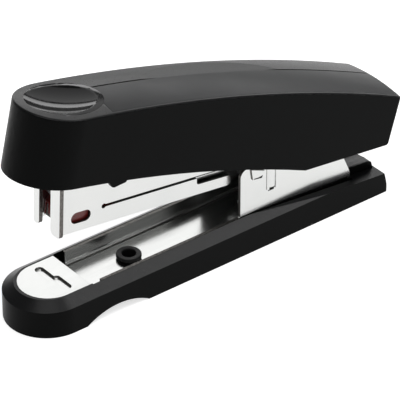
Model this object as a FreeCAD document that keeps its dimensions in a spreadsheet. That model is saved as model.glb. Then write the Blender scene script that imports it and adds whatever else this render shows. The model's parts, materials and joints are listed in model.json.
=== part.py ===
"""Mini desk stapler: base, hinged magazine with a sprung pusher, and a hinged cap with its driver.

Millimetres. X runs from the staple end (-X) to the hinge end (+X), Y across, Z up.
The origin is the centre of the footprint, on the table.
The magazine and the cap are drawn level in frames of their own, which start at the hinge pin
and are then tipped nose-up by their rest angles.
"""
import FreeCAD, Part
import math
import os
import Sketcher
from FreeCAD import Placement, Rotation, Vector

SIZES = {
    # hinge pin and the rest angles of the two hinged groups
    "pivot_x": 31.65,
    "pivot_z": 20.0,
    "magazine_pitch": 7.0,
    "cap_pitch": 17.5,
    "pin_radius": 1.5,
    "pin_clearance": 0.06,
    "pin_head_radius": 2.4,
    "pin_head_thick": 0.6,
    # base shell
    "base_front_x": -44.45,
    "base_rear_x": 50.85,
    "base_half": 10.5,
    "base_corner": 0.8,
    "base_wall_z": 7.0,
    "base_rim_z": 8.87,
    "base_rim_half": 7.76,
    "base_skin": 1.6,
    "base_cavity_z": 2.8,
    "rear_rim_half": 8.4,
    "rear_draft": 1.4,
    "slope_front_x": 9.0,
    "slope_rear_z": 5.5,
    "grip_arch_front": -40.7,
    "grip_arch_length": 18.0,
    "grip_arch_rise": 2.6,
    "hump_half": 6.6,
    "hump_dip": 1.3,
    # base channel with its hinge ears
    "channel_front_x": -36.9,
    "channel_rear_x": 41.0,
    "channel_half": 7.6,
    "channel_sheet": 0.8,
    "channel_bend": 0.9,
    "channel_under_z": 4.3,
    "channel_floor_z": 5.2,
    "flange_front_x": -34.35,
    "flange_z": 8.8,
    "ear_front_x": 6.75,
    "ear_top_z": 24.6,
    "crease_z": 9.3,
    "crease_bend_x": 21.6,
    "crease_rear_z": 7.65,
    "crease_draft": 0.1,
    # anvil plate and floor bumper
    "anvil_radius": 7.35,
    "anvil_setback": 0.45,
    "anvil_thick": 1.2,
    "anvil_sink": 0.05,
    "anvil_rear_x": -37.35,
    "groove_depth": 0.6,
    "groove_x": -42.7,
    "groove_stagger": 0.5,
    "groove_width": 2.2,
    "groove_length": 5.7,
    "bumper_x": -20.75,
    "bumper_radius": 3.05,
    "bumper_bore": 1.65,
    "bumper_neck": 2.2,
    "bumper_rise": 1.3,
    "bumper_lip": 0.75,
    # magazine, in its own frame
    "magazine_half": 5.05,
    "magazine_sheet": 0.7,
    "magazine_front_x": -75.7,
    "magazine_lean": 0.079,
    "magazine_low_z": -5.6,
    "magazine_top_z": 9.6,
    "strip_rear_x": -25.5,
    "strip_top_z": -1.2,
    "slot_top_z": -0.5,
    "slot_front_x": -63.5,
    "slot_end_radius": 0.62,
    "window_near_y": -1.5,
    "window_far_y": 2.85,
    "flange_thick": 1.05,
    "flange_inset": 0.06,
    "flange_low_z": -6.5,
    "rail_half": 3.7,
    "rail_top_z": -1.7,
    "rail_front_x": -73.2,
    "rail_rear_x": -16.0,
    "rod_radius": 0.6,
    "rod_z": 1.2,
    "coil_radius": 1.3,
    "coil_wire": 0.35,
    # staple pusher, in the magazine's frame
    "pusher_half": 4.2,
    "pusher_front_x": -73.4,
    "pusher_rear_x": -60.0,
    "pusher_top_z": 3.6,
    "pusher_leg": 6.2,
    "pusher_gap": 0.12,
    # cap, in its own frame
    "cap_nose_low_x": -76.7,
    "cap_nose_high_x": -78.3,
    "cap_nose_low_reach": 11.2,
    "cap_nose_high_reach": 11.95,
    "cap_low_half": 10.3,
    "cap_high_half": 9.9,
    "cap_low_z": -8.0,
    "cap_high_z": 15.5,
    "cap_rear_x": 20.1,
    "cap_wall": 1.3,
    "cap_roof": 1.4,
    "top_crest_x": -32.4,
    "top_crest_z": 15.35,
    "top_radius": 408.4,
    "top_crown": 0.75,
    "top_edge_half": 9.75,
    "low_crest_x": -46.8,
    "low_crest_z": -3.12,
    "low_radius": 347.1,
    "cap_edge_round": 0.5,
    "dish_x": -77.65,
    "dish_z": 13.6,
    "dish_tilt": -8.5,
    "dish_reach": 9.8,
    "dish_half": 7.9,
    "dish_depth": 1.4,
    "panel_far_y": 2.45,
    "panel_near_y": -9.1,
    "panel_front_x": -70.5,
    "panel_depth": 0.7,
    "panel_gap": 0.05,
    "panel_groove": 0.35,
    "rib_height": 5.9,
    "arm_half": 6.3,
    "arm_sheet": 0.8,
    "arm_web_z": 9.0,
    "blade_radius": 74.3,
    "blade_thick": 0.5,
    "blade_half": 4.1,
}

doc = FreeCAD.newDocument("mini_stapler")
sheet = doc.addObject("Spreadsheet::Sheet", "sizes")
for row, (word, size) in enumerate(SIZES.items(), start=1):
    sheet.set(f"A{row}", word)
    sheet.set(f"B{row}", str(size))
    sheet.setAlias(f"B{row}", word)
doc.recompute()


class Dim:
    """A number together with the spreadsheet formula that gives it."""

    def __init__(self, number, formula):
        self.number = number
        self.formula = formula

    def __add__(self, other):
        other = dim(other)
        return Dim(self.number + other.number, f"({self.formula} + {other.formula})")

    def __sub__(self, other):
        other = dim(other)
        return Dim(self.number - other.number, f"({self.formula} - {other.formula})")

    def __mul__(self, other):
        other = dim(other)
        return Dim(self.number * other.number, f"({self.formula} * {other.formula})")

    def __truediv__(self, other):
        other = dim(other)
        return Dim(self.number / other.number, f"({self.formula} / {other.formula})")

    def __neg__(self):
        return Dim(-self.number, f"(0 - {self.formula})")

    __radd__ = __add__

    def __rsub__(self, other):
        return dim(other) - self

    __rmul__ = __mul__


def dim(source):
    """The Dim of a sheet word, of a plain number or of a Dim."""
    if isinstance(source, Dim):
        return source
    if isinstance(source, str):
        return Dim(SIZES[source], f"sizes.{source}")
    return Dim(source, f"({source})")


def root(source):
    source = dim(source)
    return Dim(math.sqrt(source.number), f"sqrt({source.formula})")


def arc_z(crest_x, crest_z, radius, x):
    """Height at x of an arch with its crest at (crest_x, crest_z)."""
    run = dim(x) - crest_x
    radius = dim(radius)
    return dim(crest_z) - radius + root(radius * radius - run * run)


def bind(feature, **properties):
    """Tie properties of a feature to the sheet."""
    for name, size in properties.items():
        feature.setExpression(name, dim(size).formula)


def put(feature, x=0, y=0, z=0, tilt=0):
    """Place a feature at (x, y, z), turned about Y by tilt degrees (positive lifts the -X side)."""
    x, y, z, tilt = dim(x), dim(y), dim(z), dim(tilt)
    turn = Rotation(Vector(0, 1, 0), tilt.number or 1.0)
    feature.Placement = Placement(Vector(x.number, y.number, z.number), turn)
    feature.setExpression("Placement.Base.x", x.formula)
    feature.setExpression("Placement.Base.y", y.formula)
    feature.setExpression("Placement.Base.z", z.formula)
    feature.setExpression("Placement.Rotation.Angle", tilt.formula)


def join_group(feature, group):
    """Give a sub-part the frame of the group that it belongs to."""
    if group == "base":
        put(feature)
    else:
        put(feature, x="pivot_x", z="pivot_z", tilt=f"{group}_pitch")


def new_body(label, group):
    body = doc.addObject("PartDesign::Body", label)
    body.Label = label
    join_group(body, group)
    return body


def plane_of(body, role):
    return next(plane for plane in body.Origin.OriginFeatures if plane.Role == role)


def new_sketch(body, role, offset=0):
    """A sketch on one of the body's origin planes, moved along the plane's normal."""
    drawing = body.newObject("Sketcher::SketchObject", f"{body.Name}_sketch")
    drawing.AttachmentSupport = [(plane_of(body, role), "")]
    drawing.MapMode = "FlatFace"
    drawing.AttachmentOffset = Placement(Vector(0, 0, dim(offset).number), Rotation())
    drawing.setExpression("AttachmentOffset.Base.z", dim(offset).formula)
    return drawing


def hold(drawing, kind, target, size):
    """Add a driving dimension that follows the sheet. target is a geometry and perhaps a point of it."""
    size = dim(size)
    if kind == "Radius":
        index = drawing.addConstraint(Sketcher.Constraint(kind, target[0], size.number))
    elif abs(size.number) < 1e-9 and size.formula == "(0)":
        axis = -2 if kind == "DistanceX" else -1
        drawing.addConstraint(Sketcher.Constraint("PointOnObject", target[0], target[1], axis))
        return
    else:
        index = drawing.addConstraint(Sketcher.Constraint(kind, -1, 1, target[0], target[1], size.number))
    drawing.setExpression(f"Constraints[{index}]", size.formula)


def arc_between(first, last, radius, turn):
    """Arc from first to last; turn is +1 when it runs counter-clockwise and -1 when clockwise."""
    chord = last - first
    middle = (first + last) * 0.5
    rise = math.sqrt(max(radius * radius - chord.Length * chord.Length / 4, 0))
    side = Vector(-chord.y, chord.x, 0).normalize()
    centre = middle + side * rise * turn
    start, end = (first, last) if turn > 0 else (last, first)
    angles = [math.atan2(point.y - centre.y, point.x - centre.x) for point in (start, end)]
    circle = Part.Circle(centre, Vector(0, 0, 1), radius)
    return Part.ArcOfCircle(circle, angles[0], angles[1])


def outline(drawing, corners):
    """Closed outline through corners (u, v). A corner (u, v, radius, turn) is reached by an arc."""
    spots = [(dim(corner[0]), dim(corner[1])) for corner in corners]
    points = [Vector(u.number, v.number, 0) for u, v in spots]
    ends = []
    for step, corner in enumerate(corners):
        first, last = points[step - 1], points[step]
        if len(corner) == 2:
            edge = drawing.addGeometry(Part.LineSegment(first, last))
            ends.append((edge, 1, 2))
        else:
            radius, turn = dim(corner[2]), corner[3]
            edge = drawing.addGeometry(arc_between(first, last, radius.number, turn))
            ends.append((edge, 1, 2) if turn > 0 else (edge, 2, 1))
            hold(drawing, "Radius", (edge,), radius)
    for step, (edge, start, end) in enumerate(ends):
        following, next_start, _ = ends[(step + 1) % len(ends)]
        drawing.addConstraint(Sketcher.Constraint("Coincident", edge, end, following, next_start))
        hold(drawing, "DistanceX", (edge, end), spots[step][0])
        hold(drawing, "DistanceY", (edge, end), spots[step][1])
    return drawing


def circle(drawing, u, v, radius):
    u, v, radius = dim(u), dim(v), dim(radius)
    centre = Vector(u.number, v.number, 0)
    edge = drawing.addGeometry(Part.Circle(centre, Vector(0, 0, 1), radius.number))
    hold(drawing, "Radius", (edge,), radius)
    hold(drawing, "DistanceX", (edge, 3), u)
    hold(drawing, "DistanceY", (edge, 3), v)
    return drawing


def box_corners(u_low, u_high, v_low, v_high):
    return [(u_low, v_low), (u_high, v_low), (u_high, v_high), (u_low, v_high)]


def slot_corners(u_low, u_high, v, radius):
    """A slot along u with round ends, between its two end tips."""
    v, radius = dim(v), dim(radius)
    left, right = dim(u_low) + radius, dim(u_high) - radius
    return [
        (right, v - radius),
        (u_high, v, radius, 1),
        (right, v + radius, radius, 1),
        (left, v + radius),
        (u_low, v, radius, 1),
        (left, v - radius, radius, 1),
    ]


def solid_step(body, kind, drawing, length=None, symmetric=False, reverse=False):
    """A Pad or a Pocket of a drawing. Without a length it goes right through."""
    step = body.newObject(f"PartDesign::{kind}", f"{body.Name}_{kind}")
    step.Profile = drawing
    step.SideType = "Symmetric" if symmetric else "One side"
    step.Reversed = reverse
    if length is None:
        step.Type = "ThroughAll"
    else:
        bind(step, Length=length)
    doc.recompute()
    return step


def pad(body, drawing, length, **options):
    return solid_step(body, "Pad", drawing, length, **options)


def pocket(body, drawing, length=None, **options):
    before = body.Shape.Volume
    step = solid_step(body, "Pocket", drawing, length, **options)
    if body.Shape.Volume > before - 1e-6:
        raise RuntimeError(f"a pocket of {body.Label} cuts nothing")
    return step


def loft(body, drawings):
    step = body.newObject("PartDesign::AdditiveLoft", f"{body.Name}_loft")
    step.Profile = drawings[0]
    step.Sections = drawings[1:]
    step.Ruled = True
    doc.recompute()
    return step


def cut_loft(body, drawings):
    """Take away the ruled solid through several drawings."""
    before = body.Shape.Volume
    step = body.newObject("PartDesign::SubtractiveLoft", f"{body.Name}_cut_loft")
    step.Profile = drawings[0]
    step.Sections = drawings[1:]
    step.Ruled = True
    doc.recompute()
    if body.Shape.Volume > before - 1e-6:
        raise RuntimeError(f"a loft of {body.Label} cuts nothing")
    return step


def mirror(body, originals):
    step = body.newObject("PartDesign::Mirrored", f"{body.Name}_mirror")
    step.Originals = originals
    step.MirrorPlane = (plane_of(body, "XZ_Plane"), [""])
    body.Tip = step
    doc.recompute()
    return step


def add(kind, name, **properties):
    """A Part primitive whose properties follow the sheet."""
    feature = doc.addObject(f"Part::{kind}", name)
    bind(feature, **properties)
    return feature


def cut(name, base, tool):
    feature = doc.addObject("Part::Cut", name)
    feature.Base, feature.Tool = base, tool
    return feature


def fuse(name, *shapes):
    feature = doc.addObject("Part::MultiFuse", name)
    feature.Shapes = list(shapes)
    return feature


def common(name, *shapes):
    feature = doc.addObject("Part::MultiCommon", name)
    feature.Shapes = list(shapes)
    return feature


def rounded(name, base, radius, wanted):
    """Fillet the edges of base for which wanted(edge) is true."""
    doc.recompute()
    radius = dim(radius).number
    feature = doc.addObject("Part::Fillet", name)
    feature.Base = base
    chosen = [number for number, edge in enumerate(base.Shape.Edges, start=1) if wanted(edge)]
    feature.Edges = [(number, radius, radius) for number in chosen]
    return feature


def side_slab(name, corners, half_width):
    """A slab of the given side view (X, Z), as wide as twice half_width."""
    drawing = doc.addObject("Sketcher::SketchObject", f"{name}_side")
    drawing.Placement = Placement(Vector(0, 0, 0), Rotation(Vector(1, 0, 0), 90))
    outline(drawing, corners)
    slab = doc.addObject("Part::Extrusion", name)
    slab.Base = drawing
    slab.DirMode = "Normal"
    slab.Symmetric = True
    slab.Solid = True
    bind(slab, LengthFwd=dim(half_width) * 2)
    return slab


def cross_pin(name, radius, half_width, x=0, z=0):
    """A round bar along Y, centred on the mid-plane."""
    bar = add("Cylinder", name, Radius=radius, Height=dim(half_width) * 2)
    bar.Placement = Placement(Vector(0, 0, 0), Rotation(Vector(1, 0, 0), -90))
    bar.setExpression("Placement.Base.x", dim(x).formula)
    bar.setExpression("Placement.Base.y", (-dim(half_width)).formula)
    bar.setExpression("Placement.Base.z", dim(z).formula)
    return bar


def stadium(front_x, front_half, rear_x, corner):
    """Plan outline with a round front about (front_x, 0) and a square rear with rounded corners."""
    front_x, half, rear_x, corner = dim(front_x), dim(front_half), dim(rear_x), dim(corner)
    return [
        (rear_x - corner, -half),
        (rear_x, -half + corner, corner, 1),
        (rear_x, half - corner),
        (rear_x - corner, half, corner, 1),
        (front_x, half),
        (front_x - half, 0, half, 1),
        (front_x, -half, half, 1),
    ]


def anvil_plan(radius, rear):
    """D-shaped plan of the anvil, round at the front."""
    centre = dim("base_front_x") + "anvil_setback"
    return [
        (rear, -radius),
        (rear, radius),
        (centre, radius),
        (centre - radius, 0, radius, 1),
        (centre, -radius, radius, 1),
    ]


def make_base_shell():
    """Moulded base: sloped rim, a long recess for the channel, a rear hump and grip arches."""
    body = new_body("base_shell", "base")
    wall_z, rim_z, rim_half = dim("base_wall_z"), dim("base_rim_z"), dim("base_rim_half")
    above, across = rim_z + 0.5, 40
    foot = stadium("base_front_x", "base_half", "base_rear_x", "base_corner")
    pad(body, outline(new_sketch(body, "XY_Plane"), foot), wall_z)
    lip = stadium("base_front_x", rim_half, dim("base_rear_x") - 0.4, 0.6)
    low = outline(new_sketch(body, "XY_Plane", wall_z), foot)
    high = outline(new_sketch(body, "XY_Plane", rim_z), lip)
    loft(body, [low, high])
    rear, slope_front, slope_rear = dim("base_rear_x"), dim("slope_front_x"), dim("slope_rear_z")
    skin = dim("base_skin")
    hidden = stadium("base_front_x", dim("base_half") - skin, rear - skin - 0.6, 1.0)
    pocket(body, outline(new_sketch(body, "XY_Plane"), hidden), "base_cavity_z", reverse=True)
    slope = [
        (slope_front, above),
        (slope_front, rim_z),
        (rear - "rear_draft", slope_rear),
        (rear + 1, slope_rear),
        (rear + 1, above),
    ]
    pocket(body, outline(new_sketch(body, "XZ_Plane"), slope), across, symmetric=True)
    hump = [(40.0, 3.5), (49.0, 3.5), (49.0, 5.7), (48.6, 7.3), (47.6, 8.0), (43.2, 8.3), (40.0, 8.3)]
    pad(body, outline(new_sketch(body, "XZ_Plane"), hump), dim("hump_half") * 2, symmetric=True)
    dip, edge = dim("hump_dip"), dim("hump_half") - 0.5
    bow = (edge * edge + dip * dip) / (dip * 2)
    saddle = [(-edge, above + 2), (-edge, 8.1), (edge, 8.1, bow, 1), (edge, above + 2)]
    pocket(body, outline(new_sketch(body, "YZ_Plane", 38.0), saddle), 14, reverse=True)
    draft_top = slope_rear + 0.5
    draft = [(rear, 0.6), (rear + 1, 0.6), (rear + 1, draft_top), (rear - "rear_draft", draft_top)]
    pocket(body, outline(new_sketch(body, "XZ_Plane"), draft), across, symmetric=True)
    front, rear = dim("channel_front_x"), dim("channel_rear_x") + 0.2
    flare = dim("rear_rim_half")
    well = [
        (front, -rim_half),
        ("ear_front_x", -rim_half),
        (rear, -flare),
        (rear, flare),
        ("ear_front_x", rim_half),
        (front, rim_half),
    ]
    depth = rim_z - "channel_under_z"
    pocket(body, outline(new_sketch(body, "XY_Plane", rim_z), well), depth)
    seat_depth = dim("anvil_thick") + "anvil_sink"
    seat = anvil_plan(dim("anvil_radius") + 0.03, front + 0.5)
    pocket(body, outline(new_sketch(body, "XY_Plane", rim_z), seat), seat_depth)
    start, run, rise = dim("grip_arch_front"), dim("grip_arch_length"), dim("grip_arch_rise")
    bow = (run * run / 4 + rise * rise) / (rise * 2)
    arch = [(start + run, 0), (start + run / 2, rise, bow, 1), (start, 0, bow, 1)]
    pocket(body, outline(new_sketch(body, "XZ_Plane"), arch), across, symmetric=True)


def channel_foot_cut(body):
    """Draft on the ear's foot: below the crease the sheet leans inwards."""
    half, foot_z, slope = dim("channel_half") + 0.01, dim("channel_under_z") - 0.1, dim("crease_draft")
    sections = []
    for x, crease in (
        (dim("ear_front_x") - 0.5, dim("crease_z")),
        (dim("crease_bend_x"), dim("crease_z")),
        (dim("channel_rear_x") + 0.5, dim("crease_rear_z")),
    ):
        wedge = [(-half, crease), (-half, foot_z), ((crease - foot_z) * slope - half, foot_z)]
        sections.append(outline(new_sketch(body, "YZ_Plane", x), wedge))
    return cut_loft(body, sections)


def make_base_channel():
    """Folded steel channel: floor, low side flanges and the two hinge ears with their drafted feet."""
    body = new_body("base_channel", "base")
    half, under, floor = dim("channel_half"), dim("channel_under_z"), dim("channel_floor_z")
    front, ear, rear = dim("flange_front_x"), dim("ear_front_x"), dim("channel_rear_x")
    side = [
        (front, under),
        (rear, under),
        (rear, 6.0),
        (rear - 0.25, 8.35),
        (rear - 2.2, 12.8),
        (dim("pivot_x") + 5.4, 22.2),
        (dim("pivot_x") + 2.6, "ear_top_z", 3.2, 1),
        (dim("pivot_x") - 2.6, "ear_top_z"),
        (ear + 9.4, 23.0),
        (ear + 1.9, 21.9),
        (ear, 20.1, 2.2, 1),
        (ear, dim("flange_z") + 0.4),
        (ear - 0.4, "flange_z", 0.4, -1),
        (front, "flange_z"),
    ]
    pad(body, outline(new_sketch(body, "XZ_Plane"), side), half * 2, symmetric=True)
    inner, bend, above = half - "channel_sheet", dim("channel_bend"), 30
    trough = [
        (-inner, above),
        (-inner, floor + bend),
        (-inner + bend, floor, bend, 1),
        (inner - bend, floor),
        (inner, floor + bend, bend, 1),
        (inner, above),
    ]
    trough_sketch = outline(new_sketch(body, "YZ_Plane", front - 1), trough)
    pocket(body, trough_sketch, rear - front + 2, reverse=True)
    tongue = box_corners("channel_front_x", front + 0.5, -inner, inner)
    pad(body, outline(new_sketch(body, "XY_Plane", under), tongue), floor - under)
    foot = channel_foot_cut(body)
    bead = [(14.7, -half + 0.2), (17.5, -half + 0.2), (17.5, -half - 0.1), (14.7, -half - 0.1, 1.95, -1)]
    ridge = pad(body, outline(new_sketch(body, "XY_Plane", 13.6), bead), 8.6)
    tab = [(9.75, 21.3), (10.2, 18.3), (13.25, 18.6), (13.85, 19.6)]
    tab_sketch = outline(new_sketch(body, "XZ_Plane", half - 0.1), tab)
    lance = pad(body, tab_sketch, 0.5)
    mirror(body, [foot, ridge, lance])
    slit = [(10.3, 18.1), (13.2, 17.6), (13.6, 18.3), (10.5, 18.6)]
    pocket(body, outline(new_sketch(body, "XZ_Plane"), slit), 40, symmetric=True)
    mouth = box_corners(15.2, 17.0, 13.0, 14.3)
    pocket(body, outline(new_sketch(body, "XZ_Plane"), mouth), 40, symmetric=True)
    bore = dim("pin_radius")
    pocket(body, circle(new_sketch(body, "XZ_Plane"), "pivot_x", "pivot_z", bore), 40, symmetric=True)
    seat = dim("bumper_neck")
    pocket(body, circle(new_sketch(body, "XY_Plane", under), "bumper_x", 0, seat), 3, reverse=True)


def make_anvil_plate():
    """D-shaped anvil with two staggered forming pockets that bend the staple legs."""
    body = new_body("anvil_plate", "base")
    top = dim("base_rim_z") - "anvil_sink"
    plan = anvil_plan(dim("anvil_radius"), dim("anvil_rear_x"))
    pad(body, outline(new_sketch(body, "XY_Plane", top), plan), "anvil_thick", reverse=True)
    length, half_width = dim("groove_length"), dim("groove_width") / 2
    for side in (-1, 1):
        middle = dim("groove_x") - dim("groove_stagger") * side
        near, far = (-length, dim(0.5)) if side < 0 else (dim(-0.5), length)
        groove = [
            (middle - half_width, near + half_width),
            (middle, near, half_width, 1),
            (middle + half_width, near + half_width, half_width, 1),
            (middle + half_width, far - half_width),
            (middle, far, half_width, 1),
            (middle - half_width, far - half_width, half_width, 1),
        ]
        pocket(body, outline(new_sketch(body, "XY_Plane", top), groove), "groove_depth")


def make_floor_bumper():
    """Rubber grommet pressed into the channel floor."""
    under, top = dim("channel_under_z"), dim("channel_floor_z") + "bumper_rise"
    flange = add("Cylinder", "bumper_flange", Radius="bumper_radius", Height="bumper_lip")
    put(flange, x="bumper_x", z=top - "bumper_lip")
    neck = add("Cylinder", "bumper_neck", Radius="bumper_neck", Height=top - under)
    put(neck, x="bumper_x", z=under)
    bore = add("Cylinder", "bumper_hole", Radius="bumper_bore", Height=4)
    put(bore, x="bumper_x", z=under - 0.5)
    solid = cut("bumper_ring", fuse("bumper_blank", flange, neck), bore)
    doc.recompute()
    crown = rounded("floor_bumper", solid, 0.3, lambda edge: abs(edge.BoundBox.ZMin - top.number) < 0.01)
    join_group(crown, "base")
    return crown


def make_base_pads():
    """Two rubber pads under the base, flush with its lower edge."""
    pads = []
    for name, x, length in (("front_pad", -42.0, 16.0), ("rear_pad", 26.0, 20.0)):
        pads.append(add("Box", name, Length=length, Width=14.0, Height="base_cavity_z"))
        put(pads[-1], x=x, y=-7.0)
    group = doc.addObject("Part::Compound", "base_pads")
    group.Links = pads
    join_group(group, "base")
    return group


def make_hinge_pin():
    """Headed pin through the ears."""
    reach = dim("channel_half") + "pin_head_thick"
    shaft = cross_pin("pin_shaft", "pin_radius", reach)
    heads = []
    for name, side in (("pin_head_near", -1), ("pin_head_far", 1)):
        head = cross_pin(name, "pin_head_radius", dim("pin_head_thick") / 2)
        middle = dim("channel_half") + dim("pin_head_thick") / 2
        start = middle * side - dim("pin_head_thick") / 2
        head.setExpression("Placement.Base.y", start.formula)
        heads.append(head)
    pin = fuse("hinge_pin", shaft, *heads)
    put(pin, x="pivot_x", z="pivot_z")
    return pin


def make_lift_spring():
    """Leaf spring: lies on the channel floor, bends back on itself and holds the magazine up."""
    body = new_body("lift_spring", "base")
    floor = dim("channel_floor_z")
    leaf = [
        (14.0, floor),
        (27.0, floor),
        (28.6, floor + 3.1, 1.97, 1),
        (11.3, 17.35),
        (11.1, 17.0),
        (28.1, floor + 2.85),
        (27.0, floor + 0.4, 1.5, -1),
        (14.0, floor + 0.4),
    ]
    pad(body, outline(new_sketch(body, "XZ_Plane"), leaf), 5.0, symmetric=True)


def front_plane(z, behind=0.0):
    """X of the magazine's leaning front at height z, or of a plane a distance behind it."""
    return dim("magazine_front_x") - (dim(z) - "magazine_low_z") * "magazine_lean" + behind


def leaning_slab(front, rear, low, high):
    """Side view between two planes parallel to the magazine's front."""
    return [
        (front_plane(low, front), low),
        (front_plane(low, rear), low),
        (front_plane(high, rear), high),
        (front_plane(high, front), high),
    ]


def make_magazine_channel():
    """Folded steel magazine: U-shaped channel, slotted side walls, rear lugs and two front flanges."""
    body = new_body("magazine_channel", "magazine")
    half, skin, thick = dim("magazine_half"), dim("magazine_sheet"), dim("flange_thick")
    inner = half - skin
    low, top, rear = dim("magazine_low_z"), dim("magazine_top_z"), dim("strip_rear_x")
    strip_z, slot_z = dim("strip_top_z"), dim("slot_top_z")
    side = [
        (front_plane(low, thick - 0.02), low),
        (rear - 1.0, low),
        (rear, low + 1.0, 1.0, 1),
        (rear, -3.5),
        (rear - 0.5, -3.0, 0.5, 1),
        (-35.3, -2.9),
        (-36.0, -2.3, 0.75, -1),
        (-36.1, strip_z),
        ("slot_front_x", strip_z),
        ("slot_front_x", slot_z),
        (-6.0, slot_z),
        (-3.3, -2.7),
        (3.9, 0.0, 4.25, 1),
        (0, 3.9, 3.9, 1),
        (-20.0, 5.65),
        (-66.0, 8.1),
        (-69.0, top),
        (front_plane(top, thick - 0.02), top),
    ]
    pad(body, outline(new_sketch(body, "XZ_Plane"), side), half * 2, symmetric=True)
    hollow = box_corners(-80, 10, low + skin, top + 3)
    pocket(body, outline(new_sketch(body, "XZ_Plane"), hollow), inner * 2, symmetric=True)
    exit_gap = box_corners(-80, dim("rail_front_x") + 0.1, low - 1, low + skin + 0.1)
    pocket(body, outline(new_sketch(body, "XZ_Plane"), exit_gap), inner * 2, symmetric=True)
    toe, edge = dim("flange_low_z"), half - "flange_inset"
    block_x = front_plane(top) - 0.5
    for side_sign, gap in ((-1, dim("window_near_y")), (1, dim("window_far_y"))):
        outer, turn = edge * side_sign, -side_sign
        flange = [
            (gap, top),
            (gap, toe + 1.2),
            (gap + 1.2 * side_sign, toe, 1.2, -turn),
            (outer - 0.8 * side_sign, toe),
            (outer, toe + 0.8, 0.8, -turn),
            (outer, top),
        ]
        pad(body, outline(new_sketch(body, "YZ_Plane", block_x), flange), -74.2 - block_x)
    ahead = leaning_slab(-5.0, 0.0, -10, 12)
    pocket(body, outline(new_sketch(body, "XZ_Plane"), ahead), 40, symmetric=True)
    behind = leaning_slab(thick, thick + 3.0, low - 3, top + 1)
    pocket(body, outline(new_sketch(body, "XZ_Plane"), behind), inner * 2, symmetric=True)
    below = leaning_slab(thick, thick + 3.0, low - 3, low)
    pocket(body, outline(new_sketch(body, "XZ_Plane"), below), 40, symmetric=True)
    slot_end = circle(new_sketch(body, "XZ_Plane"), "slot_front_x", -0.9, "slot_end_radius")
    pocket(body, slot_end, 40, symmetric=True)
    sight = slot_corners(-72.75, -67.15, -1.95, 1.45)
    pocket(body, outline(new_sketch(body, "XZ_Plane"), sight), 40, symmetric=True)
    bore = dim("pin_radius") + "pin_clearance"
    pocket(body, circle(new_sketch(body, "XZ_Plane"), 0, 0, bore), 40, symmetric=True)


def make_staple_rail():
    """Open channel whose two upright walls carry the staples' crowns."""
    body = new_body("staple_rail", "magazine")
    half, skin = dim("rail_half"), dim("magazine_sheet")
    floor, top = dim("magazine_low_z") + skin, dim("rail_top_z")
    side = box_corners("rail_front_x", "rail_rear_x", floor, top)
    pad(body, outline(new_sketch(body, "XZ_Plane"), side), half * 2, symmetric=True)
    hollow = box_corners(dim("rail_front_x") - 1, dim("rail_rear_x") + 1, floor + skin, top + 1)
    pocket(body, outline(new_sketch(body, "XZ_Plane"), hollow), (half - skin) * 2, symmetric=True)


def make_spring_bracket():
    """Steel block at the rear of the magazine that anchors the rod and the pusher spring."""
    body = new_body("spring_bracket", "magazine")
    half = dim("magazine_half") - "magazine_sheet"
    block = box_corners("rail_rear_x", dim("rail_rear_x") + 3.0, -4.8, 3.4)
    pad(body, outline(new_sketch(body, "XZ_Plane"), block), half * 2, symmetric=True)
    hole = circle(new_sketch(body, "YZ_Plane", dim("rail_rear_x") - 1), 0, "rod_z", "rod_radius")
    pocket(body, hole, 6, reverse=True)


def make_pusher_rod():
    """Guide rod of the pusher spring, headed behind the bracket."""
    rod_x, rear = dim(-66.0), dim("rail_rear_x") + 3.0
    rod = add("Cylinder", "rod_shaft", Radius="rod_radius", Height=rear + 0.6 - rod_x)
    rod.Placement = Placement(Vector(0, 0, 0), Rotation(Vector(0, 1, 0), 90))
    head = add("Cylinder", "rod_head", Radius=1.1, Height=0.6)
    head.Placement = Placement(Vector(0, 0, 0), Rotation(Vector(0, 1, 0), 90))
    rod.setExpression("Placement.Base.x", rod_x.formula)
    rod.setExpression("Placement.Base.z", dim("rod_z").formula)
    head.setExpression("Placement.Base.x", rear.formula)
    head.setExpression("Placement.Base.z", dim("rod_z").formula)
    joined = fuse("pusher_rod", rod, head)
    join_group(joined, "magazine")
    return joined


def make_pusher_spring():
    """Long compression coil round the rod, between the pusher and the bracket."""
    first = SIZES["pusher_rear_x"] + 0.3
    length = SIZES["rail_rear_x"] - 0.3 - first
    turns = 26
    helix = Part.makeHelix(length / turns, length, SIZES["coil_radius"])
    wire = SIZES["coil_wire"] / 2
    start = Vector(SIZES["coil_radius"], 0, 0)
    ring = Part.Wire(Part.makeCircle(wire, start, Vector(0, 1, 0)))
    coil = Part.Wire(helix.Edges).makePipeShell([ring], True, True)
    laid = Placement(Vector(first, 0, SIZES["rod_z"]), Rotation(Vector(0, 1, 0), 90))
    feature = doc.addObject("Part::Feature", "pusher_spring")
    feature.Shape = coil.transformGeometry(laid.toMatrix())
    join_group(feature, "magazine")
    return feature


def make_hinge_sleeve():
    """Spacer tube on the pin, between the magazine's rear lugs."""
    half = dim("magazine_half") - "magazine_sheet"
    tube = cross_pin("sleeve_tube", 2.3, half)
    bore = cross_pin("sleeve_bore", dim("pin_radius") + "pin_clearance", half + 1)
    sleeve = cut("hinge_sleeve", tube, bore)
    join_group(sleeve, "magazine")
    return sleeve


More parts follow.
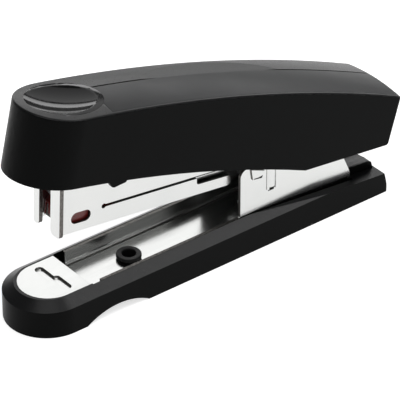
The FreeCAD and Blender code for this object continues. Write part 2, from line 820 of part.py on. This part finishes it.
def make_staple_pusher():
    """Moulded saddle that rides in and over the rail and presses the staples forward."""
    body = new_body("staple_pusher", "magazine")
    front, rear, gap = dim("pusher_front_x"), dim("pusher_rear_x"), dim("pusher_gap")
    floor, skin = dim("magazine_low_z") + "magazine_sheet", dim("magazine_sheet")
    seat, top = dim("rail_top_z") + gap, dim("pusher_top_z")
    nose = [(front, seat), (rear, seat), (rear, top), (front + 4.6, top), (front, seat + 0.5)]
    pad(body, outline(new_sketch(body, "XZ_Plane"), nose), dim("pusher_half") * 2, symmetric=True)
    core = box_corners(front, rear, floor + skin + gap, seat + 0.1)
    core_half = dim("rail_half") - skin - gap
    pad(body, outline(new_sketch(body, "XZ_Plane"), core), core_half * 2, symmetric=True)
    leg = box_corners(-dim("pusher_half"), -dim("rail_half") - gap, floor + gap, seat + 0.1)
    side_leg = pad(body, outline(new_sketch(body, "YZ_Plane", front), leg), "pusher_leg")
    mirror(body, [side_leg])
    bore = circle(new_sketch(body, "YZ_Plane", front - 1), 0, "rod_z", dim("rod_radius") + 0.1)
    pocket(body, bore, 20, reverse=True)


def crowned_band(name, crest_z):
    """Thick arched band with a crowned upper side: the roof of the cap, swept about its long arch."""
    crest_z, edge, crown = dim(crest_z), dim("top_edge_half"), dim("top_crown")
    bow = (edge * edge + crown * crown) / (crown * 2)
    reach = dim(12.0)
    shoulder = crest_z + crown - bow + root(bow * bow - reach * reach)
    drawing = doc.addObject("Sketcher::SketchObject", f"{name}_section")
    drawing.Placement = Placement(Vector(0, 0, 0), Rotation(Vector(1, 1, 1), 120))
    drawing.setExpression("Placement.Base.x", dim("top_crest_x").formula)
    outline(drawing, [(-reach, -30), (reach, -30), (reach, shoulder), (-reach, shoulder, bow, 1)])
    band = doc.addObject("Part::Revolution", name)
    band.Source = drawing
    band.Axis = Vector(0, 1, 0)
    band.Base = Vector(SIZES["top_crest_x"], 0, SIZES["top_crest_z"] - SIZES["top_radius"])
    band.Angle = 22
    band.Symmetric = True
    band.Solid = True
    return band


def drafted_hull(name, inset):
    """Plan form of the cap, drawn in from the outside by inset and tapering towards the top."""
    low_z, high_z = dim("cap_low_z"), dim("cap_high_z")
    levels = []
    for level, z, half in (("low", low_z, "cap_low_half"), ("high", high_z, "cap_high_half")):
        ring = add(
            "Ellipse",
            f"{name}_{level}",
            MajorRadius=dim(f"cap_nose_{level}_reach") - inset,
            MinorRadius=dim(half) - inset,
        )
        put(ring, x=f"cap_nose_{level}_x", z=z)
        levels.append(ring)
    nose = doc.addObject("Part::Loft", f"{name}_nose")
    nose.Sections = levels
    nose.Solid = True
    nose.Ruled = True
    rear = dim("cap_rear_x") - inset
    trunk = add(
        "Wedge",
        f"{name}_trunk",
        Xmin="cap_nose_low_x",
        X2min="cap_nose_high_x",
        Xmax=rear,
        X2max=rear,
        Ymin=low_z,
        Ymax=high_z,
        Zmin=inset - dim("cap_low_half"),
        Zmax=dim("cap_low_half") - inset,
        Z2min=inset - dim("cap_high_half"),
        Z2max=dim("cap_high_half") - inset,
    )
    trunk.Placement = Placement(Vector(0, 0, 0), Rotation(Vector(1, 0, 0), 90))
    return fuse(f"{name}_hull", nose, trunk)


def dish_plug(name, low, high):
    """Oval column at the thumb rest, between two levels of the dish's own tilted frame."""
    oval = add("Ellipse", f"{name}_oval", MajorRadius="dish_reach", MinorRadius="dish_half")
    put(oval, z=low)
    column = doc.addObject("Part::Extrusion", f"{name}_column")
    column.Base = oval
    column.DirMode = "Custom"
    column.Dir = Vector(0, 0, 1)
    column.Solid = True
    bind(column, LengthFwd=dim(high) - low)
    put(column, x="dish_x", z="dish_z", tilt="dish_tilt")
    return column


def panel_block(name, margin, groove=0.0):
    """Inlay panel's place on the roof, drawn in by margin and, on the far side, by a groove."""
    margin = dim(margin)
    width = dim("panel_far_y") - "panel_near_y" - margin * 2 - groove
    length = dim("cap_rear_x") - "panel_front_x" - margin - 0.8
    block = add("Box", name, Length=length, Width=width, Height=30)
    put(block, x=dim("panel_front_x") + margin, y=dim("panel_near_y") + margin)
    return block


def make_cap():
    """Cap shell, its inlay panel and the thumb dish, which share the roof."""
    front, rear, turn_x = dim(-93.0), dim("cap_rear_x"), dim(-5.75)

    def edge_z(x):
        return arc_z("low_crest_x", "low_crest_z", "low_radius", x)

    lower_edge = [
        (front, edge_z(front)),
        (turn_x, edge_z(turn_x), "low_radius", -1),
        (rear - 0.75, -0.85),
        (rear, -0.1, 0.8, 1),
        (rear, 25),
        (front, 25),
    ]
    roof = crowned_band("roof", "top_crest_z")
    outer = common("cap_block", drafted_hull("outer", dim(0)), roof, side_slab("flank", lower_edge, 14))

    def on_roof_edge(edge):
        box = edge.BoundBox
        middle = edge.valueAt((edge.FirstParameter + edge.LastParameter) / 2)
        return box.ZMin > 8.0 and (box.XLength > 10 or abs(middle.x + 90) < 4)

    softened = rounded("cap_soft", outer, "cap_edge_round", on_roof_edge)
    ceiling = crowned_band("ceiling", dim("top_crest_z") - "cap_roof")
    room = box_corners(-93, rear + 1, -20, 25)
    inner = common("cap_room", drafted_hull("inner", dim("cap_wall")), ceiling, side_slab("bay", room, 14))
    hollow = cut("cap_hollow", softened, inner)
    ribs = []
    for number, x in enumerate((-58.0, -30.0, -2.0), start=1):
        rib = add("Box", f"cap_rib_{number}", Length=1.2, Width=15.0, Height="rib_height")
        put(rib, x=x, y=-7.5, z=dim("arm_web_z") + 0.02)
        ribs.append(rib)
    rib_set = common("cap_ribs", fuse("rib_blanks", *ribs), roof)
    lug_side = [
        (-67.9, -2.5),
        (-67.5, -3.5),
        (-65.9, -5.0),
        (-65.2, -5.1),
        (-63.6, -4.5),
        (-62.1, -4.0),
        (-61.5, -2.5),
    ]
    lug_band = side_slab("lug_band", lug_side, 14)
    lug_skin = cut("lug_skin", drafted_hull("lug_out", dim(0.15)), drafted_hull("lug_in", dim("cap_wall")))
    lugs = common("cap_lugs", lug_band, lug_skin)
    whole = fuse("cap_whole", hollow, rib_set, lugs)
    opening = dish_plug("dish_hole", -6, 6)
    deep_roof = crowned_band("panel_floor", dim("top_crest_z") - "panel_depth")
    panel_room = cut("panel_room", panel_block("panel_pocket", 0), deep_roof)
    shell = cut("cap_shell", cut("cap_pierced", whole, opening), panel_room)
    join_group(shell, "cap")

    skin_roof = crowned_band("panel_roof", "top_crest_z")
    slab = common("panel_slab", panel_block("panel_core", "panel_gap", "panel_groove"), skin_roof)
    under = crowned_band("panel_under", dim("top_crest_z") - "panel_depth")
    panel = cut("top_panel", cut("panel_raw", slab, under), dish_plug("panel_notch", -6, 6))
    join_group(panel, "cap")

    plug = common("dish_blank", dish_plug("dish_core", -3.0, 3.0), crowned_band("dish_roof", "top_crest_z"))
    rise = dim(3.6)
    stretch = root(1 - (rise / (rise + "dish_depth")) * (rise / (rise + "dish_depth")))
    scoop = add(
        "Ellipsoid",
        "dish_scoop",
        Radius1=rise + "dish_depth",
        Radius2=dim("dish_reach") / stretch,
        Radius3=dim("dish_half") / stretch,
    )
    tilt = math.radians(SIZES["dish_tilt"])
    put(
        scoop,
        x=dim("dish_x") + rise * math.sin(tilt),
        z=dim("dish_z") + rise * math.cos(tilt),
        tilt="dish_tilt",
    )
    dish = cut("thumb_dish", plug, scoop)
    join_group(dish, "cap")
    return [shell, panel, dish]


def make_striker_arm():
    """Steel channel under the cap's roof: cheeks with the hinge holes, and a front tab for the blade."""
    body = new_body("striker_arm", "cap")
    half, skin, web = dim("arm_half"), dim("arm_sheet"), dim("arm_web_z")
    tab_rear = dim("blade_thick") - "blade_radius" + 0.5 + skin
    side = [
        (tab_rear - skin, web - 6.5),
        (tab_rear, web - 6.5),
        (tab_rear + 8.0, 1.5),
        (-9.0, -0.5),
        (-4.0, -2.0),
        (4.45, 0.0, 4.5, 1),
        (4.45, web - 1.0),
        (3.45, web, 1.0, 1),
        (tab_rear - skin + 1.0, web),
        (tab_rear - skin, web - 1.0, 1.0, 1),
    ]
    pad(body, outline(new_sketch(body, "XZ_Plane"), side), half * 2, symmetric=True)
    hollow = box_corners(tab_rear, 10, -10, web - skin)
    pocket(body, outline(new_sketch(body, "XZ_Plane"), hollow), (half - skin) * 2, symmetric=True)
    for side_sign in (-1, 1):
        if side_sign < 0:
            trim = box_corners(-half - 1, -dim("blade_half"), -10, web - 2.0)
        else:
            trim = box_corners("blade_half", half + 1, -10, web - 2.0)
        before_tab = new_sketch(body, "YZ_Plane", tab_rear - skin - 1)
        pocket(body, outline(before_tab, trim), skin + 1.0, reverse=True)
    bore = dim("pin_radius") + "pin_clearance"
    pocket(body, circle(new_sketch(body, "XZ_Plane"), 0, 0, bore), 40, symmetric=True)
    for z in (4.6, 6.9):
        hole = circle(new_sketch(body, "YZ_Plane", tab_rear - skin - 1), 0, z, 0.7)
        pocket(body, hole, 3, reverse=True)


def make_driver_blade():
    """Driver blade, curved about the hinge pin so that it slides along itself."""
    body = new_body("driver_blade", "cap")
    outer = dim("blade_radius")
    inner = outer - "blade_thick"
    low, high = math.radians(-8.95), math.radians(6.4)
    side = [
        (-inner * math.cos(low), inner * math.sin(low)),
        (-inner * math.cos(high), inner * math.sin(high), inner, -1),
        (-outer * math.cos(high), outer * math.sin(high)),
        (-outer * math.cos(low), outer * math.sin(low), outer, 1),
    ]
    pad(body, outline(new_sketch(body, "XZ_Plane"), side), dim("blade_half") * 2, symmetric=True)
    for z in (4.6, 6.9):
        hole = circle(new_sketch(body, "YZ_Plane", -outer - 1), 0, z, 0.7)
        pocket(body, hole, 3, reverse=True)


def make_blade_rivets():
    """Two rivets that hold the blade to the arm's front tab."""
    rivets = []
    start = -dim("blade_radius") - 0.1
    for number, z in enumerate((4.6, 6.9), start=1):
        for part, radius, x, length in (
            ("shank", 0.7, start, 2.4),
            ("head", 1.1, start + 1.9, 0.5),
        ):
            pin = add("Cylinder", f"rivet_{part}_{number}", Radius=radius, Height=length)
            pin.Placement = Placement(Vector(0, 0, z), Rotation(Vector(0, 1, 0), 90))
            pin.setExpression("Placement.Base.x", dim(x).formula)
            rivets.append(pin)
    group = fuse("blade_rivets", *rivets)
    join_group(group, "cap")
    return group


def make_cap_spring():
    """Leaf spring under the arm's web that holds the cap up off the magazine's walls."""
    body = new_body("cap_spring", "cap")
    web = dim("arm_web_z") - "arm_sheet"
    leaf = [
        (-4.0, web),
        (-18.0, web),
        (-40.0, 0.05),
        (-40.4, -0.15),
        (-40.4, -0.6),
        (-39.9, -0.4),
        (-17.9, web - 0.4),
        (-4.0, web - 0.4),
    ]
    pad(body, outline(new_sketch(body, "XZ_Plane"), leaf), dim("magazine_half") * 2, symmetric=True)


def check_and_export(nodes):
    """Stop on any failed object, then write every sub-part."""
    doc.recompute()
    for item in doc.Objects:
        if "Invalid" in item.State or "Error" in item.State:
            raise RuntimeError(f"{item.Name} did not compute: {item.State}")
    os.makedirs("parts", exist_ok=True)
    for node in nodes:
        part = doc.getObject(node)
        if part.Shape.isNull() or not part.Shape.isValid():
            raise RuntimeError(f"{node} has no valid shape")
        if not part.Shape.Solids:
            raise RuntimeError(f"{node} has no solid")
        part.Shape.exportStep(f"parts/{node}.step")
        box = part.Shape.optimalBoundingBox()
        print(
            f"{node:18s} solids {len(part.Shape.Solids)} volume {part.Shape.Volume:9.2f}"
            f"  x {box.XMin:7.2f} {box.XMax:7.2f}  y {box.YMin:6.2f} {box.YMax:6.2f}"
            f"  z {box.ZMin:6.2f} {box.ZMax:6.2f}"
        )


MAKERS = [
    make_base_shell,
    make_base_channel,
    make_anvil_plate,
    make_floor_bumper,
    make_base_pads,
    make_hinge_pin,
    make_lift_spring,
    make_magazine_channel,
    make_staple_rail,
    make_spring_bracket,
    make_pusher_rod,
    make_pusher_spring,
    make_hinge_sleeve,
    make_staple_pusher,
    make_cap,
    make_striker_arm,
    make_driver_blade,
    make_blade_rivets,
    make_cap_spring,
]
NODES = [
    "base_shell",
    "base_channel",
    "anvil_plate",
    "floor_bumper",
    "base_pads",
    "hinge_pin",
    "lift_spring",
    "magazine_channel",
    "staple_rail",
    "spring_bracket",
    "pusher_rod",
    "pusher_spring",
    "hinge_sleeve",
    "staple_pusher",
    "cap_shell",
    "top_panel",
    "thumb_dish",
    "striker_arm",
    "driver_blade",
    "blade_rivets",
    "cap_spring",
]

for make in MAKERS:
    make()
check_and_export(NODES)
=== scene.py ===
import bmesh
import bpy
import json
import math
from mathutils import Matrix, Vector


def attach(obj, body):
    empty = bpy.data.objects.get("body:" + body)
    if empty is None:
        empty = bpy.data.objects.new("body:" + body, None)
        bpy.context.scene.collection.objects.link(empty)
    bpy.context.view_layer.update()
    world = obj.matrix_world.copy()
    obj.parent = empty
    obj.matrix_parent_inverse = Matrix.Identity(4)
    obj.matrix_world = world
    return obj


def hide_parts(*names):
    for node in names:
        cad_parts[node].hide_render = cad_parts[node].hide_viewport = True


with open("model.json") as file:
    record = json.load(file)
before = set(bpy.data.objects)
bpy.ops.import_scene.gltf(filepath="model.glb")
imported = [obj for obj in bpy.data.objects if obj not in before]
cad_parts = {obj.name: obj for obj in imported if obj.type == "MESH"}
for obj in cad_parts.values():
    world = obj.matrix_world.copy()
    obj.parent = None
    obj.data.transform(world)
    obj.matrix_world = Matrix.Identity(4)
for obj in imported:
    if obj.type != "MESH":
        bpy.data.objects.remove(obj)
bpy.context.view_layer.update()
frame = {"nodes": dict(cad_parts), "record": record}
MM = 0.001

# finished copies: what counts as one flat, as a corner to round, and as a sheared edge
MERGE_MM = 0.001
FLAT_DEGREES = 0.4
CORNER_DEGREES = 28
SHEAR_DEGREES = 55
UPWARD_DEGREES = 65
BEVEL_SEGMENTS = 2
OWN_PAINT, SECOND_PAINT, KEEP_PAINT = 0, 1, -1

# the magazine's leaning front, in its own frame from the hinge pin
MAGAZINE_PITCH_DEGREES = 7.0
MAGAZINE_LOW_MM = -5.6
MAGAZINE_LEAN = 0.079
PLATES_END_MM = -74.6

# camera
AZIMUTH_DEGREES = -38.40
ELEVATION_DEGREES = 33.26
CAMERA_CENTRE_MM = (1.15, 0, 20.0)
CAMERA_DISTANCE = 0.8
AIM_LEFT_MM = 0.448
AIM_DOWN_MM = 6.39
LENS_MM = 305.4
SENSOR_MM = 36
NEAREST = 0.05

# studio, in metres, watts and radiance
FLOOR_SIZE = 6.0
FLOOR_GLOW = 0.7
WORLD_STRENGTH = 0.2
OBJECT_CENTRE = (0, 0, 0.02)
WHITE = (1.0, 1.0, 1.0, 1)
SOFTBOXES = {
    "key_light": ((-0.3, -0.4, 1.2), (0.9, 0.9), 4),
    "band_light": ((0.57, -0.30, 0.89), (0.45, 0.45), 2.6),
    "back_strip": ((0.75, 0.95, 0.36), (1.6, 0.16), 3.0),
    "back_bank": ((0.55, 0.70, 0.66), (0.9, 0.5), 1.8),
}


# ---------------------------------------------------------------- materials

class Paint:
    """A node material built step by step round one Principled shader."""

    def __init__(self, name, **sockets):
        self.material = bpy.data.materials.new(name)
        self.material.use_nodes = True
        self.tree = self.material.node_tree
        self.shader = self.tree.nodes["Principled BSDF"]
        self.height = None
        self.place = self.tree.nodes.new("ShaderNodeTexCoord").outputs["Object"]
        for socket, value in sockets.items():
            self.shader.inputs[socket.replace("_", " ")].default_value = value

    def node(self, kind, **settings):
        made = self.tree.nodes.new(f"ShaderNode{kind}")
        for name, value in settings.items():
            setattr(made, name, value)
        return made

    def link(self, source, target):
        self.tree.links.new(source, target)

    def stretched(self, stretch):
        """The object's own coordinates, scaled along each axis."""
        mapping = self.node("Mapping")
        mapping.inputs["Scale"].default_value = stretch
        self.link(self.place, mapping.inputs["Vector"])
        return mapping.outputs["Vector"]

    def noise(self, per_mm, stretch=(1, 1, 1), detail=4.0, roughness=0.55):
        """Noise between 0 and 1 with about per_mm features to the millimetre."""
        made = self.node("TexNoise")
        made.inputs["Scale"].default_value = per_mm / MM
        made.inputs["Detail"].default_value = detail
        made.inputs["Roughness"].default_value = roughness
        self.link(self.stretched(stretch), made.inputs["Vector"])
        return made.outputs["Fac"]

    def ramp(self, source, low, high, from_low=0.3, from_high=0.7):
        """The source's middle range spread out to run from low to high."""
        made = self.node("MapRange")
        made.inputs["From Min"].default_value = from_low
        made.inputs["From Max"].default_value = from_high
        made.inputs["To Min"].default_value = low
        made.inputs["To Max"].default_value = high
        self.link(source, made.inputs["Value"])
        return made.outputs["Result"]

    def tint(self, source, dark, light):
        """Base colour from dark to light as the source rises."""
        mix = self.node("Mix", data_type="RGBA")
        mix.inputs[6].default_value = (*dark, 1)
        mix.inputs[7].default_value = (*light, 1)
        self.link(source, mix.inputs[0])
        self.link(mix.outputs[2], self.shader.inputs["Base Color"])

    def rough(self, source, low, high):
        self.link(self.ramp(source, low, high), self.shader.inputs["Roughness"])

    def bump(self, source, depth_mm):
        """Fine relief, on top of any that is there already."""
        made = self.node("Bump")
        made.inputs["Strength"].default_value = 1.0
        made.inputs["Distance"].default_value = depth_mm * MM
        self.link(source, made.inputs["Height"])
        if self.height:
            self.link(self.height, made.inputs["Normal"])
        self.height = made.outputs["Normal"]
        self.link(self.height, self.shader.inputs["Normal"])


def shell_plastic():
    """Satin black moulding with a fine spark-eroded grain."""
    paint = Paint("shell_plastic", Specular_IOR_Level=0.04)
    grain = paint.noise(5.0, detail=3.0)
    cloud = paint.noise(0.12)
    paint.tint(cloud, (0.0020, 0.0022, 0.0022), (0.0032, 0.0034, 0.0034))
    paint.rough(cloud, 0.32, 0.40)
    paint.bump(grain, 0.004)
    return paint.material


def shell_top_painted_light():
    """The same moulding where it faces up, with open grain and a brighter base colour: painted
    light on the upward faces.
    """
    paint = Paint("shell_top_painted_light", Specular_IOR_Level=0.25)
    grain = paint.noise(4.0, detail=4.0)
    cloud = paint.noise(0.12)
    # base colour lighter than the side paint: painted light where the faces look up
    paint.tint(cloud, (0.0040, 0.0042, 0.0046), (0.0058, 0.0060, 0.0066))
    paint.rough(grain, 0.26, 0.40)
    paint.bump(grain, 0.004)
    return paint.material


def panel_plastic():
    """Smoother blue-black inlay."""
    paint = Paint("panel_plastic", Specular_IOR_Level=0.12)
    grain = paint.noise(6.0, detail=3.0)
    cloud = paint.noise(0.1)
    paint.tint(cloud, (0.0028, 0.0034, 0.0044), (0.0042, 0.0050, 0.0062))
    paint.rough(cloud, 0.28, 0.34)
    paint.bump(grain, 0.002)
    return paint.material


def gloss_plastic():
    """Polished black thumb rest with faint handling haze."""
    paint = Paint("gloss_plastic", Specular_IOR_Level=0.12)
    haze = paint.noise(0.35)
    paint.tint(haze, (0.0030, 0.0030, 0.0034), (0.0046, 0.0046, 0.0050))
    paint.rough(haze, 0.06, 0.10)
    paint.bump(paint.noise(3.0), 0.0006)
    return paint.material


def plated_steel():
    """Bright nickel plate over rolled sheet."""
    paint = Paint("plated_steel", Metallic=1.0)
    rolled = paint.noise(0.8, stretch=(0.08, 1.0, 1.0), detail=5.0)
    cloud = paint.noise(0.09)
    specks = paint.noise(9.0, detail=2.0)
    paint.tint(cloud, (0.62, 0.63, 0.62), (0.68, 0.68, 0.67))
    paint.rough(rolled, 0.17, 0.24)
    paint.bump(rolled, 0.0006)
    paint.bump(specks, 0.0005)
    return paint.material


def cut_edge_and_shade():
    """Sheared edge of the plated sheet: dull and torn across its thickness, with a dark colour that
    is partly the bare steel and partly painted shade of the gaps and seams beside it.
    """
    paint = Paint("cut_edge_and_shade", Metallic=1.0)
    torn = paint.noise(2.2, detail=6.0, roughness=0.7)
    fine = paint.noise(8.0, detail=3.0)
    # dark tint: partly bare sheared steel, partly painted shade in the seams and gaps
    paint.tint(paint.ramp(torn, 0.0, 1.0, 0.35, 0.65), (0.05, 0.045, 0.04), (0.24, 0.23, 0.22))
    paint.rough(fine, 0.40, 0.60)
    paint.bump(torn, 0.02)
    return paint.material


def spring_steel():
    """Plain blued-grey spring steel with drawing lines."""
    paint = Paint("spring_steel", Metallic=1.0)
    drawn = paint.noise(2.0, stretch=(0.1, 1.0, 1.0), detail=5.0)
    paint.tint(drawn, (0.34, 0.34, 0.35), (0.48, 0.48, 0.48))
    paint.rough(drawn, 0.28, 0.40)
    paint.bump(drawn, 0.002)
    return paint.material


def pusher_plastic():
    """Deep red moulding, slightly clear."""
    paint = Paint("pusher_plastic", Subsurface_Weight=0.1, Subsurface_Scale=0.001)
    cloud = paint.noise(0.3)
    paint.tint(cloud, (0.10, 0.004, 0.003), (0.16, 0.008, 0.006))
    paint.rough(cloud, 0.22, 0.34)
    paint.bump(paint.noise(4.0), 0.003)
    return paint.material


def black_rubber():
    """Dull black rubber with a soft bloom."""
    paint = Paint("black_rubber", Specular_IOR_Level=0.3)
    bloom = paint.noise(0.8)
    paint.tint(bloom, (0.006, 0.006, 0.006), (0.011, 0.011, 0.011))
    paint.rough(bloom, 0.45, 0.6)
    paint.bump(paint.noise(5.0), 0.006)
    return paint.material


PAINTS = {
    "shell_plastic": shell_plastic(),
    "panel_plastic": panel_plastic(),
    "gloss_plastic": gloss_plastic(),
    "plated_steel": plated_steel(),
    "spring_steel": spring_steel(),
    "pusher_plastic": pusher_plastic(),
    "black_rubber": black_rubber(),
}
CUT_EDGE_AND_SHADE = cut_edge_and_shade()
SHELL_TOP_PAINTED_LIGHT = shell_top_painted_light()
SLOTS = {part["node"]: part["material_slot"] for part in frame["record"]["subparts"]}
BODIES = {
    node: body for body, nodes in frame["record"]["behaviour"]["bodies"].items() for node in nodes
}


def repaint(thing, slot):
    """Give a carried-over CAD node its own material."""
    thing.data.materials.clear()
    thing.data.materials.append(PAINTS[slot])


# ---------------------------------------------------------------- finished copies of CAD nodes

def strip_width(face):
    """Width of the rectangle with the face's area and outline length."""
    quarter = sum(edge.calc_length() for edge in face.edges) / 4
    return quarter - math.sqrt(max(quarter * quarter - face.calc_area(), 0.0))


def mark_cut_edges(form, widest_mm):
    """Give narrow faces that turn sharply on two sides the second material."""
    sharp = math.radians(SHEAR_DEGREES)
    for face in form.faces:
        turns = [edge for edge in face.edges if edge.calc_face_angle(0.0) > sharp]
        across = abs(face.normal.y) < 0.5
        if across and len(turns) >= 2 and strip_width(face) < widest_mm * MM:
            face.material_index = SECOND_PAINT


def mark_upward(form):
    """Give faces that look up the second material."""
    lowest = math.cos(math.radians(UPWARD_DEGREES))
    for face in form.faces:
        face.material_index = SECOND_PAINT if face.normal.z > lowest else OWN_PAINT


def mark_plate_sides(form):
    """Give the side faces of the magazine's two front plates the second material."""
    pivot = Vector(frame["record"]["behaviour"]["joints"][0]["pos_m"])
    pitch = math.radians(MAGAZINE_PITCH_DEGREES)
    for face in form.faces:
        arm = face.calc_center_median() - pivot
        along = arm.x * math.cos(pitch) - arm.z * math.sin(pitch)
        height = arm.x * math.sin(pitch) + arm.z * math.cos(pitch)
        upright_x = along + (height - MAGAZINE_LOW_MM * MM) * MAGAZINE_LEAN
        if abs(face.normal.y) > 0.8 and upright_x < PLATES_END_MM * MM:
            face.material_index = SECOND_PAINT


def merge_flats(form):
    """Join the triangles of each flat and shade the whole form smooth."""
    bmesh.ops.remove_doubles(form, verts=form.verts, dist=MERGE_MM * MM)
    bmesh.ops.dissolve_limit(
        form,
        angle_limit=math.radians(FLAT_DEGREES),
        verts=form.verts,
        edges=form.edges,
        delimit=set(),
    )
    for face in form.faces:
        face.smooth = True
        face.material_index = OWN_PAINT
    for edge in form.edges:
        edge.smooth = True


def round_edges(piece, edge_mm, edge_paint):
    """Small bevel on every corner, with the flats beside it kept flat."""
    bevel = piece.modifiers.new("rounded_edges", "BEVEL")
    bevel.width = edge_mm * MM
    bevel.segments = BEVEL_SEGMENTS
    bevel.limit_method = "ANGLE"
    bevel.angle_limit = math.radians(CORNER_DEGREES)
    bevel.material = edge_paint
    weighted = piece.modifiers.new("flat_faces", "WEIGHTED_NORMAL")
    weighted.keep_sharp = False


def finished(node, edge_mm, second=None, cut_mm=0.0, edge_paint=KEEP_PAINT):
    """A copy of a CAD node with merged flats and small rounded edges, which stands for the node."""
    mesh = frame["nodes"][node].data.copy()
    mesh.materials.clear()
    mesh.materials.append(PAINTS[SLOTS[node]])
    if second:
        mesh.materials.append(second)
    form = bmesh.new()
    form.from_mesh(mesh)
    merge_flats(form)
    if cut_mm:
        mark_cut_edges(form, cut_mm)
    elif second:
        mark_upward(form)
    if node == "magazine_channel":
        mark_plate_sides(form)
    form.to_mesh(mesh)
    form.free()
    piece = bpy.data.objects.new(f"{node}_finished", mesh)
    bpy.context.scene.collection.objects.link(piece)
    round_edges(piece, edge_mm, edge_paint)
    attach(piece, BODIES[node])
    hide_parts(node)


# plain nodes: width of the rounding
EDGES_MM = {
    "spring_bracket": 0.1,
    "staple_pusher": 0.2,
    "base_pads": 0.3,
    "top_panel": 0.12,
    "thumb_dish": 0.12,
    "floor_bumper": 0.2,
    "hinge_pin": 0.15,
    "lift_spring": 0.08,
    "cap_spring": 0.08,
}
# nodes whose upward faces take the brighter shell paint, which is painted light on their tops
SHELL_EDGES_MM = {"base_shell": 0.3, "cap_shell": 0.2}
# folded sheet: width of the rounding, and widest face that counts as a sheared edge
SHEET_EDGES_MM = {
    "base_channel": (0.08, 1.0),
    "magazine_channel": (0.06, 1.3),
    "staple_rail": (0.08, 0.9),
    "striker_arm": (0.1, 0.9),
}

for name, piece in frame["nodes"].items():
    repaint(piece, SLOTS[name])
for name, width in EDGES_MM.items():
    finished(name, width)
for name, width in SHELL_EDGES_MM.items():
    finished(name, width, second=SHELL_TOP_PAINTED_LIGHT)
for name, (width, cut) in SHEET_EDGES_MM.items():
    finished(name, width, second=CUT_EDGE_AND_SHADE, cut_mm=cut)
# every rounded edge of the anvil takes the dark cut-edge paint: a painted shade line along the
# anvil's edges
finished("anvil_plate", 0.2, second=CUT_EDGE_AND_SHADE, cut_mm=0.75, edge_paint=SECOND_PAINT)


# ---------------------------------------------------------------- studio

def add_floor():
    """Pale floor that glows a little, like a light table."""
    bpy.ops.mesh.primitive_plane_add(size=FLOOR_SIZE, location=(0, 0, 0))
    floor = bpy.context.object
    floor.name = "studio_floor"
    paint = Paint(
        "studio_floor", Roughness=1.0, Specular_IOR_Level=0.0, Emission_Strength=FLOOR_GLOW
    )
    paint.shader.inputs["Emission Color"].default_value = WHITE
    paint.tint(paint.noise(0.002), (0.88, 0.88, 0.88), (0.90, 0.90, 0.90))
    floor.data.materials.append(paint.material)


def add_softbox(name, place, size, power):
    """Rectangular area light that faces the object."""
    lamp = bpy.data.lights.new(name, "AREA")
    lamp.shape = "RECTANGLE"
    lamp.size, lamp.size_y = size
    lamp.energy = power
    box = bpy.data.objects.new(name, lamp)
    box.location = place
    towards = Vector(OBJECT_CENTRE) - Vector(place)
    box.rotation_euler = towards.to_track_quat("-Z", "Y").to_euler()
    bpy.context.scene.collection.objects.link(box)


def add_world():
    """Even, dim white surroundings."""
    world = bpy.data.worlds.new("studio")
    world.use_nodes = True
    bpy.context.scene.world = world
    backdrop = world.node_tree.nodes["Background"]
    backdrop.inputs["Color"].default_value = WHITE
    backdrop.inputs["Strength"].default_value = WORLD_STRENGTH


def add_camera():
    """Long lens from the front left, a third of the way up."""
    azimuth, elevation = math.radians(AZIMUTH_DEGREES), math.radians(ELEVATION_DEGREES)
    back = Vector((
        math.sin(azimuth) * math.cos(elevation),
        -math.cos(azimuth) * math.cos(elevation),
        math.sin(elevation),
    ))
    right = Vector((math.cos(azimuth), math.sin(azimuth), 0))
    up = back.cross(right)
    centre = Vector(CAMERA_CENTRE_MM) * MM
    place = centre + back * CAMERA_DISTANCE
    aim = centre - right * AIM_LEFT_MM * MM - up * AIM_DOWN_MM * MM
    lens = bpy.data.cameras.new("camera")
    lens.sensor_width = SENSOR_MM
    lens.lens = LENS_MM
    lens.clip_start = NEAREST
    camera = bpy.data.objects.new("camera", lens)
    camera.location = place
    camera.rotation_euler = (aim - place).to_track_quat("-Z", "Y").to_euler()
    bpy.context.scene.collection.objects.link(camera)
    bpy.context.scene.camera = camera


add_floor()
add_world()
for name, (place, size, power) in SOFTBOXES.items():
    add_softbox(name, place, size, power)
add_camera()
bpy.context.scene.view_settings.view_transform = "Standard"
